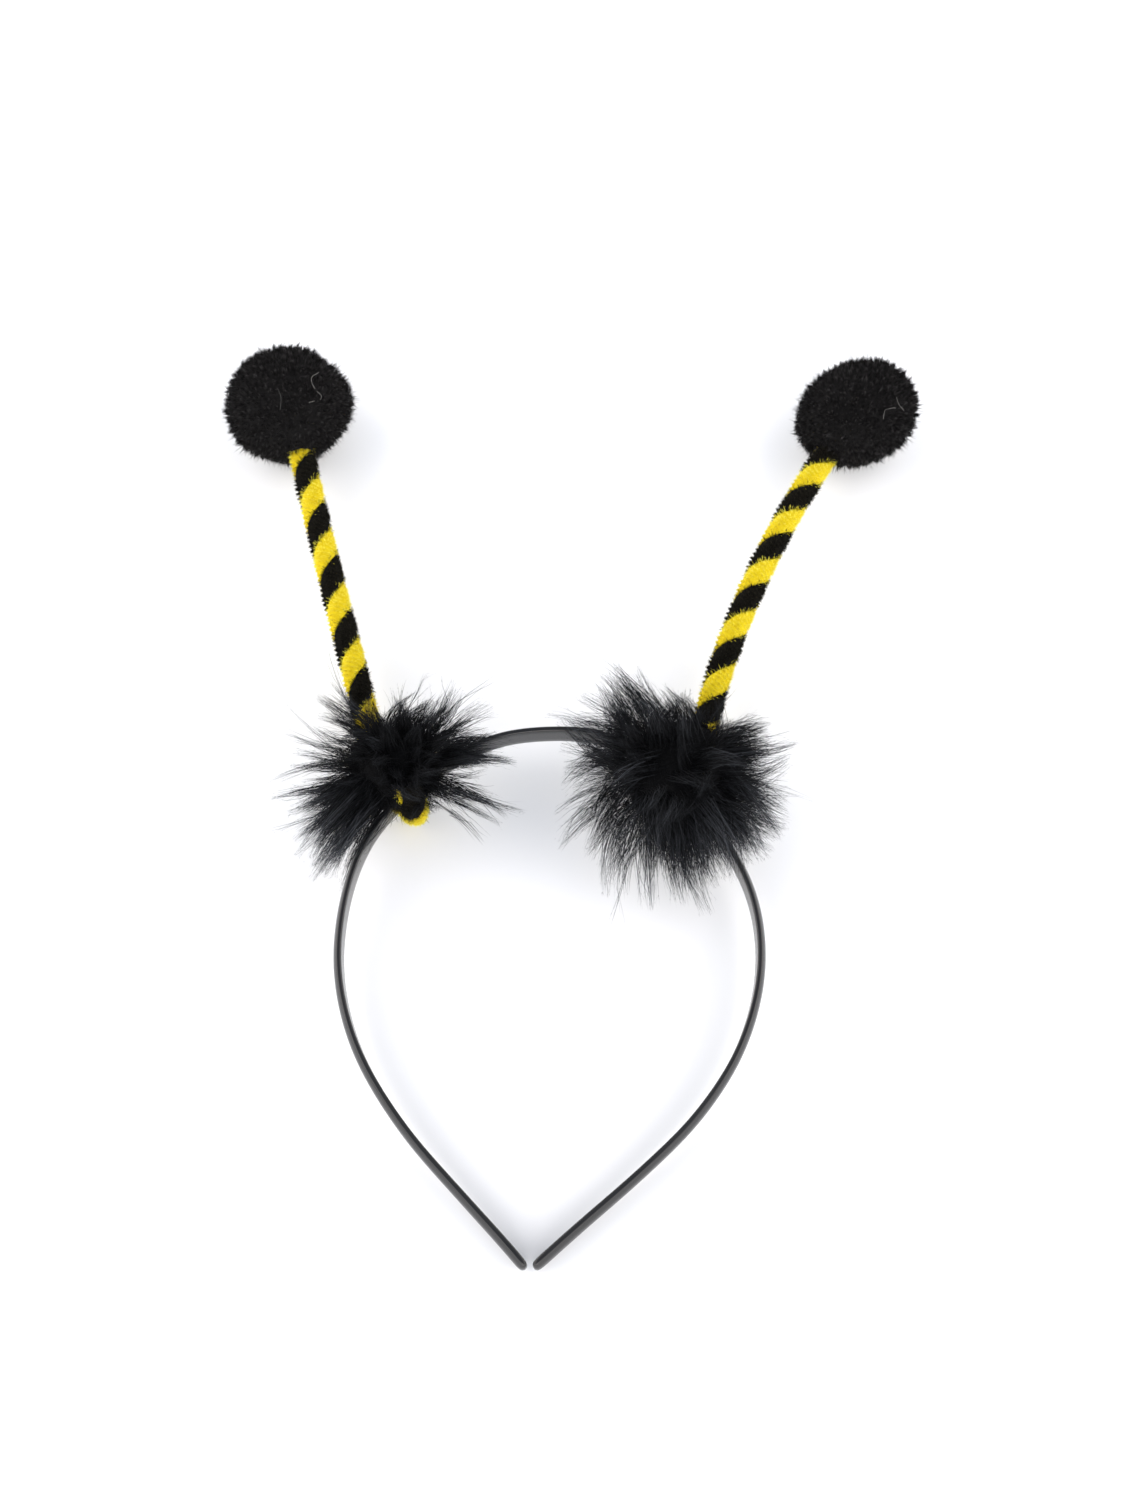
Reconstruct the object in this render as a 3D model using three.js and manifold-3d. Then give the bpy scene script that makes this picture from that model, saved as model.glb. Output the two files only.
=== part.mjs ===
// Bee antenna headband: a slim plastic hoop, two antennas of black and yellow
// chenille stem twisted together, each wound once round the hoop and ending in
// a pompom, and a tuft of marabou feather round the root of each antenna.
// Millimetres, +Z up. The headband lies flat on its tips, windings and pompoms,
// with the antennas towards +Y. The pieces are worked out in the plane of the
// hoop, with the gap of the tips at its origin, and the whole is then leaned.

import * as THREE from 'three';
import { mergeVertices } from 'three/addons/utils/BufferGeometryUtils.js';
import Module from 'manifold-3d';

const wasm = await Module();
wasm.setup();

// Hoop
const hoopWidth = 113.4;
const hoopLength = 143;
const tipGap = 1.4;
const bandWidth = 9;
const bandTipWidth = 7.5;
const bandThickness = 2.2;
const bandTipThickness = 2.7;
const bandRim = 1.2;
const bandSpan = 8;

// Antennas
const ropeDiameter = 8;
const ropePitch = 18.2;
const stemGap = 0.4;
const ropeStepsPerTurn = 9;
const windingSlack = 0.6;
const windingTail = 5;
const freeLength = 20;
const leftLength = 135;
const rightLength = 136;
const leftPompomDiameter = 37.5;
const rightPompomDiameter = 36;
const socketDepth = 9;

// Feather tufts
const leftTuftReach = 38;
const rightTuftReach = 41;
const leftTuftHeight = 12;
const rightTuftHeight = 13;
const lockGirth = 12;
const lockThickness = 6;

// Gap between pieces that touch
const clearance = 0.3;

const deg = Math.PI / 180;
const ropeRadius = ropeDiameter / 2;

// Middle line of the hoop from the left tip over the crown to the right tip:
// side as a share of the hoop's width, rise as a share of its length
const hoopRoute = [
  { side: -0.056, rise: 0.034 },
  { side: -0.159, rise: 0.12 },
  { side: -0.299, rise: 0.244 },
  { side: -0.416, rise: 0.399 },
  { side: -0.459, rise: 0.577 },
  { side: -0.389, rise: 0.797 },
  { side: -0.132, rise: 0.974 },
  { side: 0.04, rise: 1.0 },
  { side: 0.211, rise: 0.98 },
  { side: 0.491, rise: 0.738 },
  { side: 0.541, rise: 0.567 },
  { side: 0.495, rise: 0.399 },
  { side: 0.386, rise: 0.262 },
  { side: 0.247, rise: 0.155 },
  { side: 0.111, rise: 0.064 },
];

// Rounding of each tip: distance back from the end as a share of the tip's
// thickness, with the thickness and width left there as shares
const tipRounding = [
  { back: 0, thick: 0.3, wide: 0.55 },
  { back: 0.12, thick: 0.68, wide: 0.76 },
  { back: 0.38, thick: 0.93, wide: 0.91 },
  { back: 0.95, thick: 1, wide: 1 },
];

// Each antenna: winding's place as a share along the hoop, the stalk's foot in
// millimetres along the hoop from there, lean from +Y in degrees at the foot and
// at the pompom (positive to the right), slant of the winding along the hoop as
// a share of its way across, and the first stripe's turn
const antennas = {
  left: {
    root: 0.376,
    foot: -3.2,
    slant: 0.1,
    leanAtFoot: -18.3,
    leanAtTop: -13.3,
    length: leftLength,
    turn: 193 * deg,
    pompom: { diameter: leftPompomDiameter, across: 1.03, along: 0.95, high: 0.9, tilt: 20 },
  },
  right: {
    root: 0.603,
    foot: 2,
    slant: -0.45,
    leanAtFoot: 11,
    leanAtTop: 35.9,
    length: rightLength,
    turn: 330 * deg,
    pompom: { diameter: rightPompomDiameter, across: 1.04, along: 0.88, high: 0.86, tilt: 24 },
  },
};

// Locks of each tuft: heading in degrees from +X, reach as a share of the
// tuft's reach, and rise as a share of the lock's own reach
const tufts = {
  left: {
    reach: leftTuftReach,
    height: leftTuftHeight,
    across: 1.42,
    along: 1.35,
    shift: { along: 0.1, out: 0.45, rise: 0.3 },
    locks: [
      { heading: 8, reach: 0.72, rise: 0.34 },
      { heading: 24, reach: 0.74, rise: -0.12 },
      { heading: 42, reach: 0.74, rise: 0.5 },
      { heading: 58, reach: 0.72, rise: 0.12 },
      { heading: 74, reach: 0.64, rise: 0.6 },
      { heading: 96, reach: 0.6, rise: -0.22 },
      { heading: 118, reach: 0.76, rise: 0.45 },
      { heading: 134, reach: 0.88, rise: -0.12 },
      { heading: 150, reach: 0.96, rise: 0.38 },
      { heading: 168, reach: 0.98, rise: -0.22 },
      { heading: 184, reach: 0.84, rise: 0.4 },
      { heading: 200, reach: 0.88, rise: -0.3 },
      { heading: 216, reach: 1, rise: 0.26 },
      { heading: 232, reach: 0.98, rise: -0.3 },
      { heading: 250, reach: 0.66, rise: 0.4 },
      { heading: 290, reach: 0.5, rise: 0.3 },
      { heading: 322, reach: 0.62, rise: 0.3 },
      { heading: 344, reach: 0.82, rise: -0.22 },
      { heading: 20, reach: 0.5, rise: 1.3 },
      { heading: 130, reach: 0.5, rise: 1.25 },
      { heading: 235, reach: 0.5, rise: 1.1 },
      { heading: 320, reach: 0.42, rise: 1.2 },
    ],
  },
  right: {
    reach: rightTuftReach,
    height: rightTuftHeight,
    across: 1.85,
    along: 1.5,
    shift: { along: 0.1, out: 0.35, rise: 0.25 },
    locks: [
      { heading: 6, reach: 0.66, rise: 0.3 },
      { heading: 24, reach: 0.64, rise: -0.22 },
      { heading: 42, reach: 0.66, rise: 0.5 },
      { heading: 62, reach: 0.6, rise: -0.12 },
      { heading: 84, reach: 0.56, rise: 0.6 },
      { heading: 104, reach: 0.62, rise: -0.12 },
      { heading: 120, reach: 0.76, rise: 0.45 },
      { heading: 136, reach: 0.78, rise: -0.22 },
      { heading: 152, reach: 0.86, rise: 0.35 },
      { heading: 168, reach: 0.84, rise: -0.12 },
      { heading: 186, reach: 0.76, rise: 0.4 },
      { heading: 202, reach: 0.86, rise: -0.22 },
      { heading: 218, reach: 0.88, rise: 0.3 },
      { heading: 234, reach: 0.98, rise: -0.3 },
      { heading: 250, reach: 0.92, rise: 0.32 },
      { heading: 266, reach: 0.88, rise: -0.3 },
      { heading: 282, reach: 0.82, rise: 0.34 },
      { heading: 298, reach: 0.84, rise: -0.22 },
      { heading: 314, reach: 0.88, rise: 0.28 },
      { heading: 332, reach: 0.84, rise: -0.3 },
      { heading: 350, reach: 0.76, rise: 0.35 },
      { heading: 30, reach: 0.44, rise: 1.3 },
      { heading: 150, reach: 0.44, rise: 1.3 },
      { heading: 220, reach: 0.46, rise: 1.1 },
      { heading: 300, reach: 0.46, rise: 1.1 },
    ],
  },
};

// Sideways curl of a lock as a share of its length, and its girth from root to
// tip as a share of its widest
const lockCurl = 0.1;
const lockProfile = [
  { along: 0, girth: 0.75 },
  { along: 0.38, girth: 1 },
  { along: 0.72, girth: 0.72 },
  { along: 1, girth: 0.16 },
];

const plastic = new THREE.MeshStandardMaterial({ color: 0x1c1a1b, roughness: 0.38, metalness: 0 });
const blackPile = new THREE.MeshStandardMaterial({ color: 0x060606, roughness: 0.98, metalness: 0 });
const yellowPile = new THREE.MeshStandardMaterial({ color: 0xf7dc1e, roughness: 0.95, metalness: 0 });
const feather = new THREE.MeshStandardMaterial({ color: 0x14171a, roughness: 0.85, metalness: 0 });

const range = (count) => Array.from({ length: count }, (_, i) => i);
const mix = THREE.MathUtils.lerp;
const up = new THREE.Vector3(0, 0, 1);

// A point from an origin along two or three directions
function offset(origin, ...steps) {
  const point = origin.clone();
  for (const [direction, distance] of steps) point.addScaledVector(direction, distance);
  return point;
}

function centreOf(points) {
  const sum = new THREE.Vector3();
  for (const point of points) sum.add(point);
  return sum.divideScalar(points.length);
}

// Closed skin over a row of rings that run anticlockwise about the direction of
// travel. Each quad folds along its outer diagonal, on the seam strip its inner.
function loft(rings, seam = -1) {
  const count = rings[0].length;
  const points = rings.flat();
  const index = [];
  for (const i of range(rings.length - 1)) {
    const middle = centreOf([...rings[i], ...rings[i + 1]]);
    const depth = (a, b) => centreOf([points[a], points[b]]).distanceTo(middle);
    for (const k of range(count)) {
      const next = (k + 1) % count;
      const [a, b] = [i * count + k, i * count + next];
      const [c, d] = [b + count, a + count];
      const foldAC = (depth(a, c) > depth(b, d)) !== (k === seam);
      index.push(...(foldAC ? [a, b, c, a, c, d] : [a, b, d, b, c, d]));
    }
  }
  const last = (rings.length - 1) * count;
  for (const k of range(count - 2)) {
    index.push(0, k + 2, k + 1);
    index.push(last, last + k + 1, last + k + 2);
  }
  return new THREE.BufferGeometry().setFromPoints(points).setIndex(index);
}

function toSolid(geometry) {
  const bare = geometry.clone();
  bare.deleteAttribute('normal');
  bare.deleteAttribute('uv');
  const merged = mergeVertices(bare);
  return new wasm.Manifold(new wasm.Mesh({
    numProp: 3,
    vertProperties: new Float32Array(merged.attributes.position.array),
    triVerts: new Uint32Array(merged.index.array),
  }));
}

function toGeometry(solid) {
  const { vertProperties, triVerts } = solid.getMesh();
  const geometry = new THREE.BufferGeometry();
  geometry.setAttribute('position', new THREE.BufferAttribute(vertProperties, 3));
  return geometry.setIndex(new THREE.BufferAttribute(triVerts, 1));
}

// Hoop: the middle line, the frame at a share along it, and the lofted band
const tipRadius = bandTipThickness / 2;
const tipEnd = (sign) => new THREE.Vector3(sign * (tipGap / 2 + tipRadius), 0, 0);
const hoopLine = new THREE.CatmullRomCurve3([
  tipEnd(-1),
  ...hoopRoute.map(({ side, rise }) => new THREE.Vector3(side * hoopWidth, rise * hoopLength, 0)),
  tipEnd(1),
], false, 'centripetal');
hoopLine.arcLengthDivisions = 800;

function hoopFrame(share) {
  const within = THREE.MathUtils.clamp(share, 0, 1);
  const along = hoopLine.getTangentAt(within);
  const point = offset(hoopLine.getPointAt(within), [along, (share - within) * hoopLine.getLength()]);
  return { point, along, out: new THREE.Vector3(-along.y, along.x, 0) };
}

// Lower half of the band's section: flat inner face, thin rim, crowned outer
// face; how far out in millimetres, and rise as a share of the half width
function bandProfile(inner, rimTop, outer, margin) {
  return [
    { outward: inner - margin, rise: -0.94 },
    { outward: mix(inner, rimTop, 0.22) - margin, rise: -1 },
    { outward: rimTop + margin, rise: -1 },
    { outward: mix(rimTop, outer, 0.74) + margin, rise: -0.62 },
    { outward: outer + margin, rise: -0.2 },
  ];
}

// One section of the band, grown all round by a margin
function bandRing(share, thickShare, wideShare, margin) {
  const { point, out } = hoopFrame(share);
  const toTip = Math.abs(share * 2 - 1);
  const thick = mix(bandThickness, bandTipThickness, toTip) * thickShare;
  const half = mix(bandWidth, bandTipWidth, toTip) * wideShare / 2 + margin;
  const inner = -thick / 2;
  const face = bandProfile(inner, inner + bandRim * thickShare, thick / 2, margin);
  const otherFace = face.map(({ outward, rise }) => ({ outward, rise: -rise })).reverse();
  return [...face, ...otherFace].map(({ outward, rise }) => (
    offset(point, [out, outward], [up, rise * half])
  ));
}

function band(margin = 0) {
  const length = hoopLine.getLength();
  const spans = Math.round(length / bandSpan);
  const tip = tipRounding.map(({ back, thick, wide }) => {
    const share = (back * bandTipThickness - tipRadius - margin) / length;
    return { share, thick, wide };
  });
  const body = range(spans - 1).map((i) => ({ share: (i + 1) / spans, thick: 1, wide: 1 }));
  const end = tip.map((row) => ({ ...row, share: 1 - row.share })).reverse();
  const stations = [...tip, ...body, ...end];
  return loft(stations.map(({ share, thick, wide }) => bandRing(share, thick, wide, margin)));
}

// The winding of an antenna round the band: half circles round each rim,
// joined by straight runs past the two faces
const windRadius = bandThickness / 2 + clearance + ropeRadius + windingSlack;
const windHalfRun = bandWidth / 2 + clearance + ropeRadius - windRadius;
const windBottom = windHalfRun + windRadius + ropeRadius;

// The plane that the lying headband rests on, through the lowest points of
// the tips and of both windings, in the plane of the hoop
const rootPoint = (side) => hoopFrame(antennas[side].root).point;
const restPlane = new THREE.Plane().setFromCoplanarPoints(
  new THREE.Vector3(0, 0, -bandTipWidth / 2),
  offset(rootPoint('right'), [up, -windBottom]),
  offset(rootPoint('left'), [up, -windBottom]),
);
const restHeight = (x, y) => (-restPlane.constant - restPlane.normal.x * x - restPlane.normal.y * y)
  / restPlane.normal.z;

// Point of an antenna's arc in plan, at a distance from its foot
function arcPoint(antenna, distance) {
  const { root, foot, leanAtFoot, leanAtTop, length } = antenna;
  const { point, along } = hoopFrame(root);
  const start = offset(point, [along, foot]);
  const steps = 24;
  const step = distance / steps;
  for (const i of range(steps)) {
    const lean = mix(leanAtFoot, leanAtTop, (i + 0.5) * step / length) * deg;
    start.add(new THREE.Vector3(Math.sin(lean), Math.cos(lean), 0).multiplyScalar(step));
  }
  return start;
}

function pompomCentre(antenna) {
  const centre = arcPoint(antenna, antenna.length);
  const { diameter, high } = antenna.pompom;
  centre.z = restHeight(centre.x, centre.y) + diameter * high / 2;
  return centre;
}

// Middle line of an antenna's rope, from inside the pompom down to the hoop,
// over the near rim, round the inner face and under the far rim to its tail
function ropeLine(antenna) {
  const { point, along, out } = hoopFrame(antenna.root);
  const { length, pompom } = antenna;
  const ropeTop = length - pompom.diameter * pompom.along / 2 + socketDepth;
  const drop = pompomCentre(antenna).z;
  const stalk = [1, 0.8, 0.6, 0.4, 0.2, 0].map((share) => {
    const distance = mix(freeLength, ropeTop, share);
    return offset(arcPoint(antenna, distance), [up, drop * distance / length]);
  });
  const across = out.clone().addScaledVector(along, antenna.slant);
  const wound = (outward, rise) => offset(point, [across, outward], [up, rise]);
  const rimRise = windHalfRun + windRadius;
  const shoulderRise = 0.66 * rimRise;
  const shoulder = [offset(point.clone().lerp(stalk.at(-1), 0.5), [up, shoulderRise])];
  const nearRim = [90, 120, 150, 180].map((angle) => wound(
    windRadius * Math.cos(angle * deg),
    windHalfRun + windRadius * Math.sin(angle * deg),
  ));
  const farRim = [180, 210, 240, 270].map((angle) => wound(
    windRadius * Math.cos(angle * deg),
    -windHalfRun + windRadius * Math.sin(angle * deg),
  ));
  const tail = [wound(windingTail, -rimRise)];
  const line = new THREE.CatmullRomCurve3(
    [...stalk, ...shoulder, ...nearRim, ...farRim, ...tail],
    false,
    'centripetal',
  );
  line.arcLengthDivisions = 600;
  return line;
}

// Rings of one section carried along a line, turning steadily about it
function sweep(line, steps, section, turnPerStep, firstTurn) {
  const { normals, binormals } = line.computeFrenetFrames(steps, false);
  return range(steps + 1).map((i) => {
    const turn = firstTurn + turnPerStep * i;
    const across = normals[i].clone().multiplyScalar(Math.cos(turn));
    across.addScaledVector(binormals[i], Math.sin(turn));
    const beside = binormals[i].clone().multiplyScalar(Math.cos(turn));
    beside.addScaledVector(normals[i], -Math.sin(turn));
    return section.map(([x, y]) => offset(line.getPointAt(i / steps), [across, x], [beside, y]));
  });
}

// One stem of the rope: half of its round, turning about the rope's middle
function strand(antenna, half) {
  const line = ropeLine(antenna);
  const steps = Math.round(line.getLength() / ropePitch * ropeStepsPerTurn);
  const pileAngles = [-66, -33, 0, 33, 66];
  const seamReach = 0.8 * ropeRadius;
  const section = [
    [stemGap / 2, -seamReach],
    ...pileAngles.map((angle) => [
      ropeRadius * Math.cos(angle * deg),
      ropeRadius * Math.sin(angle * deg),
    ]),
    [stemGap / 2, seamReach],
  ];
  const turnPerStep = line.getLength() / ropePitch * 2 * Math.PI / steps;
  const rings = sweep(line, steps, section, turnPerStep, antenna.turn + half * Math.PI);
  return loft(rings, section.length - 1);
}

// Space that a rope needs, with its clearance, along a stretch of its line
function ropeRoom(antenna) {
  const line = ropeLine(antenna);
  const sides = 8;
  const reach = (ropeRadius + clearance) / Math.cos(Math.PI / sides);
  const section = range(sides).map((k) => {
    const angle = (k + 0.5) * 2 * Math.PI / sides;
    return [reach * Math.cos(angle), reach * Math.sin(angle)];
  });
  const stepLength = 0.7 * ropeRadius;
  const steps = Math.round(line.getLength() / stepLength);
  return loft(sweep(line, steps, section, 0, 0));
}

// The eye of the winding, between the rope and the band
function windingEye(antenna) {
  const { point, along, out } = hoopFrame(antenna.root);
  const outline = new THREE.Shape();
  outline.absarc(0, windHalfRun, windRadius, 0, Math.PI, false);
  outline.absarc(0, -windHalfRun, windRadius, Math.PI, 2 * Math.PI, false);
  const depth = ropeRadius;
  const plug = new THREE.ExtrudeGeometry(outline, { depth, bevelEnabled: false, curveSegments: 6 });
  plug.translate(0, 0, -depth / 2);
  const across = out.clone().addScaledVector(along, antenna.slant);
  return plug.applyMatrix4(new THREE.Matrix4().makeBasis(across, up, along).setPosition(point));
}

// Low relief over a ball, with a number of waves to the radian
function wave(spot, waves) {
  return Math.sin(waves * spot.x + 1) * Math.sin(1.1 * waves * spot.y) * Math.cos(waves * spot.z);
}

// Pompom: a ball of short dense pile in low locks, pressed flat where it lies,
// with a socket for the rope
function pompom(antenna) {
  const { diameter, across, along, high, tilt } = antenna.pompom;
  const ball = new THREE.IcosahedronGeometry(1, 5);
  ball.deleteAttribute('normal');
  ball.deleteAttribute('uv');
  const pile = mergeVertices(ball);
  const position = pile.attributes.position;
  const lockDepth = 0.035;
  for (const i of range(position.count)) {
    const spot = new THREE.Vector3().fromBufferAttribute(position, i);
    const lump = wave(spot, 5) / 2;
    const tuft = wave(spot, 17);
    const pressed = THREE.MathUtils.smoothstep(-spot.z, 0.75, 0.95);
    const size = 1 + lockDepth * (lump + tuft) * (1 - pressed);
    position.setXYZ(i, spot.x * size, spot.y * size, spot.z * size);
  }
  pile.scale(diameter * across / 2, diameter * along / 2, diameter * high / 2);
  pile.rotateZ(tilt * deg);
  const centre = pompomCentre(antenna);
  pile.translate(centre.x, centre.y, centre.z);
  return toGeometry(toSolid(pile).subtract(toSolid(ropeRoom(antenna))));
}

// One lock of feather: a flattened spindle that leaves the tuft's middle,
// rises, droops and curls to one side, never below the resting plane
function lock(centre, reach, row, curl) {
  const { heading, rise } = row;
  const flat = Math.cos(Math.atan(rise));
  const level = new THREE.Vector3(Math.cos(heading * deg), Math.sin(heading * deg), 0);
  const sideways = new THREE.Vector3(-level.y, level.x, 0);
  const length = row.reach * reach;
  const bend = offset(
    centre,
    [level, 0.6 * flat * length],
    [sideways, -lockCurl * curl * length],
    [up, rise * flat * length],
  );
  const tip = offset(
    centre,
    [level, length * flat],
    [sideways, lockCurl * curl * length],
    [up, 0.7 * rise * flat * length],
  );
  const floor = restHeight(tip.x, tip.y) + lockThickness / 2 + clearance;
  bend.z = Math.max(bend.z, floor);
  tip.z = Math.max(tip.z, floor);
  const line = new THREE.QuadraticBezierCurve3(centre, bend, tip);
  const sides = 4;
  const rings = lockProfile.map(({ along, girth: share }) => {
    const travel = line.getTangent(along);
    const beside = up.clone().cross(travel).normalize();
    const above = travel.clone().cross(beside);
    return range(sides).map((k) => {
      const angle = k * 2 * Math.PI / sides;
      return offset(
        line.getPoint(along),
        [beside, lockGirth / 2 * share * Math.cos(angle)],
        [above, lockThickness / 2 * share * Math.sin(angle)],
      );
    });
  });
  return loft(rings);
}

// Feather tuft: a core of down round the root of the antenna, and its locks
function featherTuft(side) {
  const antenna = antennas[side];
  const { reach, height, across, along, shift, locks } = tufts[side];
  const { point, along: ahead, out } = hoopFrame(antenna.root);
  const centre = offset(
    point,
    [ahead, shift.along * height],
    [out, shift.out * height],
    [up, shift.rise * height],
  );
  const core = new THREE.IcosahedronGeometry(height, 2);
  core.scale(across, along, 1);
  core.translate(centre.x, centre.y, centre.z);
  let tuft = toSolid(core);
  for (const [i, row] of locks.entries()) {
    const curl = Math.cos(i * 2.4);
    tuft = tuft.add(toSolid(lock(centre, reach, row, curl)));
  }
  for (const room of [band(clearance), ropeRoom(antenna), windingEye(antenna)]) {
    tuft = tuft.subtract(toSolid(room));
  }
  return toGeometry(tuft);
}

const headpiece = new THREE.Group();

function addPiece(name, geometry, material) {
  const mesh = new THREE.Mesh(geometry, material);
  mesh.name = name;
  headpiece.add(mesh);
}

addPiece('headband', band(), plastic);
for (const [side, antenna] of Object.entries(antennas)) {
  addPiece(`stem_black_${side}`, strand(antenna, 0), blackPile);
  addPiece(`stem_yellow_${side}`, strand(antenna, 1), yellowPile);
  addPiece(`pompom_${side}`, pompom(antenna), blackPile);
  addPiece(`feather_tuft_${side}`, featherTuft(side), feather);
}

// Lean the headpiece onto its resting plane, with the middle of its foot at
// the origin
headpiece.quaternion.setFromUnitVectors(restPlane.normal, up);
const bounds = new THREE.Box3().setFromObject(headpiece, true);
const foot = bounds.getCenter(new THREE.Vector3());
headpiece.position.set(-foot.x, -foot.y, -bounds.min.z);

const beeAntennaHeadband = new THREE.Group();
beeAntennaHeadband.add(headpiece);

export default beeAntennaHeadband;
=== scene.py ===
import math

import bpy
import numpy as np
from mathutils import Matrix, Vector
from mathutils.kdtree import KDTree


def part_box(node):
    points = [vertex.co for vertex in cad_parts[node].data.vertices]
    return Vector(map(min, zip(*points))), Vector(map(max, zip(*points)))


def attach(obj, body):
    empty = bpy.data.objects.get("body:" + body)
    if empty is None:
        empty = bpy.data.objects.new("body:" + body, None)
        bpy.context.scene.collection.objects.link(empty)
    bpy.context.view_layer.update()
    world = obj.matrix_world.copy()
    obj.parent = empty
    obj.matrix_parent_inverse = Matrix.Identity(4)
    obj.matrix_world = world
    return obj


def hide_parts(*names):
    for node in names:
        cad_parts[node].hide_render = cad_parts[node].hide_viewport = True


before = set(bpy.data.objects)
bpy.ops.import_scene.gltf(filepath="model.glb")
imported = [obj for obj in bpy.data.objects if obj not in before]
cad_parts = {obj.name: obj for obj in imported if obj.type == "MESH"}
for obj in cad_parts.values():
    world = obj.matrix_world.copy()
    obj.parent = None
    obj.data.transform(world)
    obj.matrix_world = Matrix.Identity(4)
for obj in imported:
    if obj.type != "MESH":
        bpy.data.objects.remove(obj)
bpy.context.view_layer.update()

# Bee antenna headband: satin plastic hoop, antennas of black and yellow
# chenille, felted pompoms and marabou tufts. Metres, +Z up.

MM = 0.001

# From the plane of the hoop, in millimetres with the gap of the tips at its
# origin, to the frame
HOOP_PLANE = (
    Matrix.Translation((-0.010733, -0.134186, 0.003740))
    @ Matrix.Rotation(0.07235, 4, "X")
    @ Matrix.Rotation(0.00068, 4, "Y")
    @ Matrix.Scale(MM, 4)
)

# Camera
CAMERA_TARGET = (0.0, 0.00323, 0.0137)
CAMERA_ELEVATION = math.radians(66.455)
CAMERA_DISTANCE = 0.5
CAMERA_LENS = 43.2

# Height above the floor of what would pass through it, in millimetres
FLOOR_GAP = 0.3

# Softboxes in metres and watts
WARM_WHITE = (1.0, 0.93, 0.86)
SOFT_WHITE = (1.0, 0.95, 0.9)
SOFTBOXES = [
    # name, place, size, power, colour
    ("left_softbox", (-0.9, 0.15, 0.75), 1.2, 9.0, WARM_WHITE),
    ("right_softbox", (0.9, 0.1, 0.75), 1.2, 8.0, WARM_WHITE),
    ("front_softbox", (0.0, -1.1, 0.6), 0.9, 5.0, SOFT_WHITE),
]

# Chenille rope of two stems twisted together, in millimetres. Each stem's wire
# lies beside the rope's middle, and its fibres leave it in rows, as a fan.
ROPE_RADIUS = 4.05
STEM_GAP = 0.3
WIRE_OFFSET = 1.6
CORE_DEPTH = 0.55
ROPE_STEP = 0.2
PILE_ROW = 0.95
PILE_DEPTH = 1.5
FIBRES_PER_ROW = 128
FIBRE_WIDTHS = (0.15, 0.13, 0.0)

# Fan of fibres: its width as a share of a half round, the degrees that a bunch
# takes up, how many bunches a row may have and how far a fibre leans to its bunch
FAN_WIDTH = 1.16
BUNCH_ANGLE = 17
BUNCHES = 16
BUNCHING = 0.35

# Pile of each colour: how uneven its bunches are and how much taller, in
# millimetres, and the share of its fibres that stand proud
PILE_KINDS = {
    "black": {"uneven": 0.22, "taller": 0.1, "proud": 0.11},
    "yellow": {"uneven": 0.1, "taller": 0.0, "proud": 0.06},
}

# Course of the rope, in millimetres: the winding's radius, its gap to the band's
# edges and its tail, where up the stalk the arc starts, how deep the rope goes
# into the pompom, and how far before its end the late turn starts and how long
# that takes
BAND_HALF_WIDTH = 4.5
WIND_RADIUS = 4.0
WIND_GAP = 0.3
WINDING_TAIL = 5.0
FREE_LENGTH = 20.0
SOCKET_DEPTH = 9.0
LATE_TURN_START = 45.0
LATE_TURN_RUN = 25.0

# Antennas in the plane of the hoop: root, the winding's middle on the band; the
# hoop's heading there in degrees from +X; foot, how far along the hoop the stalk
# starts; slant of the winding; lean from +Y at the foot and at the pompom in
# degrees; length to the pompom's middle and how far that lies below the hoop;
# pitch of the rope; turn of the black stem's back from straight up at the rope's
# end in the pompom and how much further it turns round the hoop, in degrees
ANTENNAS = {
    "left": {
        "root": (-35.33, 124.53), "heading": 44.1, "foot": -5.0, "slant": 0.1,
        "lean_foot": -16.9, "lean_top": -13.6, "length": 135.0, "drop": -5.2,
        "pitch": 18.2, "turn": -5.0, "late_turn": -92.0, "pompom_radius": 17.8,
    },
    "right": {
        "root": (41.22, 125.25), "heading": -47.8, "foot": 2.0, "slant": -0.45,
        "lean_foot": 11.0, "lean_top": 35.9, "length": 136.0, "drop": -6.15,
        "pitch": 18.5, "turn": 132.0, "late_turn": 0.0, "pompom_radius": 15.8,
    },
}

# Pompoms: size in millimetres across, along and high, tilt in degrees from +X,
# shift of its middle, and where it swells or is pressed in
POMPOM_FIBRES = 30000
POMPOM_CORE_DEPTH = 0.8
POMPOM_LUMPS = [
    # waves across the ball, height as a share of its radius
    (3.1, 0.024),
    (6.3, 0.018),
    (13.0, 0.014),
    (24.0, 0.008),
]
POMPOM_GRAIN = 0.006
POMPOMS = {
    "left": {
        "size": (37.5, 34.7, 33.2), "tilt": 20, "shift": (-0.4, -1.7),
        "swells": [
            # heading, rise, share of its size, sharpness
            (34, 8, -0.12, 5),
            (-98, 8, 0.05, 5),
            (-158, 8, 0.06, 5),
            (-85, 25, 0.14, 12),
        ],
    },
    "right": {
        "size": (36.4, 31.0, 30.4), "tilt": 24, "shift": (0.4, 0.3),
        "swells": [
            # heading, rise, share of its size, sharpness
            (110, 8, -0.03, 5),
            (-150, 8, 0.07, 5),
            (172, 8, 0.05, 6),
            (-126, 30, 0.10, 14),
        ],
    },
}

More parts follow.
